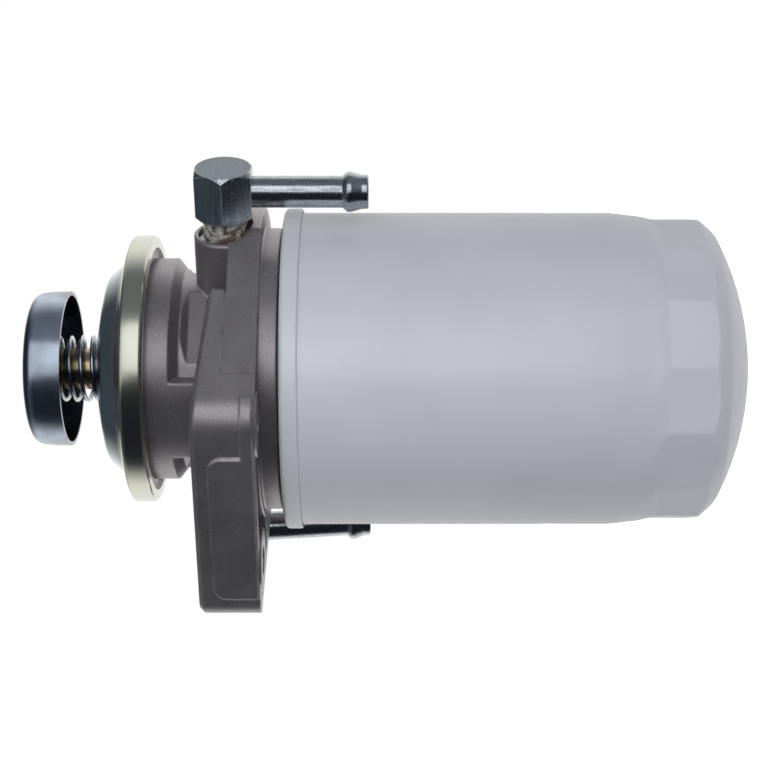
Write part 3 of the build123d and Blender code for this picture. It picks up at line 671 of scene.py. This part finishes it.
def shell(enamel):
    """Drawn can with its wrench flats, soft where the press rounded them, and its dome."""
    count, softness = 480, 0.1
    # Straight wall, the soft step in to the waist, and close rings where the flats run out
    side = [(CAN_RADIUS, CAN_TOP), (CAN_RADIUS, -60), (CAN_RADIUS, -111)]
    side += [(46.0, -113.5), (45.6, -116.5), (45.38, -118.5)]
    side += [(CAN_WAIST, -119.7 - 0.5 * i) for i in range(12)]
    side += [(CAN_WAIST, -129), (CAN_WAIST, CORNER_TOP)]
    corner = rounded([(CAN_WAIST, CORNER_TOP), (CAN_WAIST, CORNER_FOOT), (41, dome_height(41)),
                      (DOME_EDGE, dome_height(DOME_EDGE))], [4.5, 7], steps=10)
    dome = [(radius, dome_height(radius)) for radius in range(DOME_EDGE - 4, 0, -4)]
    rings = []
    for radius, height in side + corner[1:] + dome + [(POINT, dome_height(0))]:
        ring = []
        for i in range(count):
            angle = 2 * pi * i / count
            out = radius
            if height < FLATS_TOP:
                out = soft_least(radius, flat_radius(angle, height), softness)
            ring.append((out * cos(angle), out * sin(angle), height))
        rings.append(ring)
    inside = [(max(radius, POINT), dome_height(radius) + CAN_WALL) for radius in (0, 30, 41)]
    inside += [(WAIST_INNER, CORNER_FOOT), (WAIST_INNER, FLATS_START), (CAN_INNER, -112.5),
               (CAN_INNER, CAN_TOP)]
    rings += [circle(radius, height, count) for radius, height in inside]
    swept("can", rings, enamel, "canister_shell", sharp=30)


def dress(material, *nodes):
    """Gives frame pieces that stay as they are their material."""
    for node in nodes:
        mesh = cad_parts[node].data
        mesh.materials.clear()
        mesh.materials.append(material)


def build():
    """Makes the visible pieces and dresses the rest of the frame."""
    # Pressed and clear-chromated: blue where it faces the eye and a darker grey at a slant, which is
    # painted shade on its flanks; its cup is painted darker inside as painted shade
    knob(zinc_plate("zinc_steel", "c8d4e6", "8c9496", 0.2, inside="6b727c"))
    # Pressed and clear-chromated too, with a pale straw film on its crimped rim
    cover(zinc_plate("dome_steel", "bcc6d0", "cfd2cc", 0.15, rim="d6d7c8"))

    # Turned and left bright: an even, fairly sharp gloss
    turned = plain("turned_steel", "a9aaab", metallic=1.0, roughness=0.25, grain=0.3)
    bush(turned)
    dress(turned, "diaphragm_nut", "inlet_valve_retainer", "outlet_valve_seat", "canister_nipple")

    # Turned and yellow-chromated: a straw tone that goes pink at a slant
    rod(zinc_plate("yellow_steel", "cdb98a", "c9a6b0", 0.18))

    # Drawn wire, plated: a bluish gloss with hardly any grain
    wire = zinc_plate("spring_steel", "b9c6d8", "d2d4cc", 0.15)
    return_spring(wire)
    valve_spring("inlet", wire)
    valve_spring("outlet", wire)
    dress(wire, "element_spring")

    # Stamped and seated once: bright, with a dull film
    soft_metal = plain("washer_aluminium", "cfd0d6", metallic=0.5, roughness=0.28, grain=0.4)
    bar, tube = hexagon_steel(), tube_steel()
    for side, turn in SIDES.items():
        elbow(side, turn, bar)
        tail(side, turn, tube)
        washer(side, turn, soft_metal)

    enamel = canister_enamel()
    lid(enamel)
    shell(enamel)

    # Moulded: a matt black with a fine bloom
    rubber = plain("rubber", "1d1d1e", roughness=0.6, grain=0.6)
    membrane(rubber)
    dress(rubber, "canister_gasket", "element_grommet")

    # Injection-moulded: a smooth cream with a soft gloss
    plastic = plain("valve_plastic", "cfc6b0", roughness=0.45, grain=1.0)
    dress(plastic, "inlet_valve_disc", "outlet_valve_disc")

    # Resin-bonded and pleated: matt yellow with visible fibres
    paper = plain("filter_paper", "d9c27a", roughness=0.8, grain=0.4, depth=0.03)
    dress(paper, "filter_paper")

    # Pressed from rolled sheet: a grey metal with a wide soft gloss
    pressed = plain("cap_steel", "a7a9a8", metallic=1.0, roughness=0.35, grain=1.5)
    dress(pressed, "diaphragm_plate_upper", "diaphragm_plate_lower", "tapping_plate",
          "element_cap_upper", "element_cap_lower", "centre_tube")
    dress(cast_aluminium(), "head_casting")


# Camera, light and floor

CAMERA_TURN = radians(30)
PICTURE_UP = Vector((cos(CAMERA_TURN), sin(CAMERA_TURN), 0))
PICTURE_RIGHT = Vector((0, 0, -1))
TOWARDS_VIEWER = Vector((sin(CAMERA_TURN), -cos(CAMERA_TURN), 0))
CAMERA_DISTANCE = 536.4
CAMERA_RAISE = -4.62
CAMERA_HEIGHT = -45.15
CAMERA_SENSOR = 36
CAMERA_LENS = 84.375
LAMPS_HEIGHT = -45
FLOOR_HEIGHT = -200
FLOOR_REACH = 1500
WHITE = (1, 1, 1, 1)


def camera():
    """The photograph's camera, on its side so that the filter's top is at the left."""
    data = bpy.data.cameras.new("camera")
    data.sensor_width = CAMERA_SENSOR
    data.lens = CAMERA_LENS
    data.clip_start = 10 / METRE
    item = bpy.data.objects.new("camera", data)
    bpy.context.collection.objects.link(item)
    spot = PICTURE_UP * CAMERA_RAISE + TOWARDS_VIEWER * CAMERA_DISTANCE
    spot.z = CAMERA_HEIGHT
    turn = Matrix((PICTURE_RIGHT, PICTURE_UP, TOWARDS_VIEWER)).transposed().to_4x4()
    item.matrix_world = Matrix.Translation(place(spot)) @ turn
    bpy.context.scene.camera = item


def lean(angle, height=0.0):
    """Direction at an angle from the viewer's side towards the picture's top."""
    angle = radians(angle)
    return TOWARDS_VIEWER * cos(angle) + PICTURE_UP * sin(angle) + Vector((0, 0, height))


def lamp(name, direction, distance, size, glow, in_metal=True):
    """A soft box facing the filter; glow is its brightness, where 1 is white."""
    data = bpy.data.lights.new(name, "AREA")
    data.shape = "RECTANGLE"
    data.size, data.size_y = (side / METRE for side in size)
    data.energy = glow * pi * data.size * data.size_y
    item = bpy.data.objects.new(name, data)
    bpy.context.collection.objects.link(item)
    item.visible_glossy = in_metal
    back = direction.normalized()
    across = Vector((0, 0, 1)).cross(back).normalized()
    turn = Matrix((across, back.cross(across), back)).transposed().to_4x4()
    spot = back * distance + Vector((0, 0, LAMPS_HEIGHT))
    item.matrix_world = Matrix.Translation(place(spot)) @ turn


def surroundings():
    """A backdrop that is white to the eye and behind the filter, and else a grey room.

    The room is dark on the picture's lower side, which gives bright metal its dark flanks.
    """
    world = bpy.data.worlds.new("studio")
    bpy.context.scene.world = world
    world.use_nodes = True
    tree = world.node_tree
    tree.nodes.clear()
    path = add(tree, "LightPath").outputs
    ray = add(tree, "TexCoord").outputs["Generated"]
    upward = add(tree, "VectorMath", ray, PICTURE_UP, operation="DOT_PRODUCT")
    above = add(tree, "VectorMath", ray, (0, 0, 1), operation="DOT_PRODUCT")
    behind = add(tree, "VectorMath", ray, -TOWARDS_VIEWER, operation="DOT_PRODUCT")

    bright_side = add(tree, "MapRange", upward, -0.25, 0.25)
    ceiling = add(tree, "MapRange", above, 0.45, 0.8)
    grey = add(tree, "Mix", bright_side, srgb("20242a"), srgb("70747a"), data_type="RGBA")
    grey = add(tree, "Mix", ceiling, grey, srgb("474d55"), data_type="RGBA")

    behind = add(tree, "MapRange", behind, 0.02, 0.48)
    beside = add(tree, "MapRange", above, 0.35, 0.75, 1, 0)
    backdrop = add(tree, "Math", behind, beside, operation="MULTIPLY")
    backdrop = add(tree, "Math", backdrop, path["Is Glossy Ray"], operation="MULTIPLY")
    seen = add(tree, "Math", path["Is Camera Ray"], path["Is Transmission Ray"], operation="MAXIMUM")
    seen = add(tree, "Math", backdrop, seen, operation="MAXIMUM")
    room = add(tree, "Background", grey, 1.0)
    white = add(tree, "Background", WHITE, 1.0)
    add(tree, "OutputWorld", add(tree, "MixShader", seen, room, white))


def ground():
    """A plain white floor well below the filter, which is seen white and takes its shadow."""
    material, tree = blank("floor")
    seen = add(tree, "LightPath").outputs["Is Camera Ray"]
    matt = add(tree, "BsdfDiffuse", srgb("f0f0f0"))
    glow = add(tree, "Emission", WHITE, 0.93)
    both = add(tree, "AddShader", matt, glow)
    add(tree, "OutputMaterial", add(tree, "MixShader", seen, matt, both))
    mesh = bpy.data.meshes.new("floor")
    corners = [place((x * FLOOR_REACH, y * FLOOR_REACH, FLOOR_HEIGHT))
               for x, y in ((-1, -1), (1, -1), (1, 1), (-1, 1))]
    mesh.from_pydata(corners, [], [(0, 1, 2, 3)])
    mesh.materials.append(material)
    item = bpy.data.objects.new("floor", mesh)
    bpy.context.collection.objects.link(item)
    item.visible_glossy = False


def studio():
    """Sets the light round the filter."""
    bpy.context.scene.view_settings.view_transform = "Standard"
    surroundings()
    ground()
    near, far = 900, 1200
    # Soft boxes that shade the canister; the first and the third show in metal too
    lamp("front_box", lean(17), near, (700, 500), 1.02)
    lamp("low_box", lean(-98), near, (420, 520), 0.5, in_metal=False)
    lamp("left_box", lean(13, 0.75), near, (770, 780), 0.55)
    # Fills from the front, from behind, along the axis from the knob's end and from the
    # picture's lower side, which don't show in metal
    fill = (600, 600)
    lamp("fill", lean(5), far, fill, 5.2, in_metal=False)
    lamp("back_fill", lean(175), far, fill, 2.6, in_metal=False)
    lamp("top_fill", lean(180, 6), far, fill, 2.4, in_metal=False)
    lamp("under_fill", lean(-125), far, fill, 2.4, in_metal=False)


build()
camera()
studio()
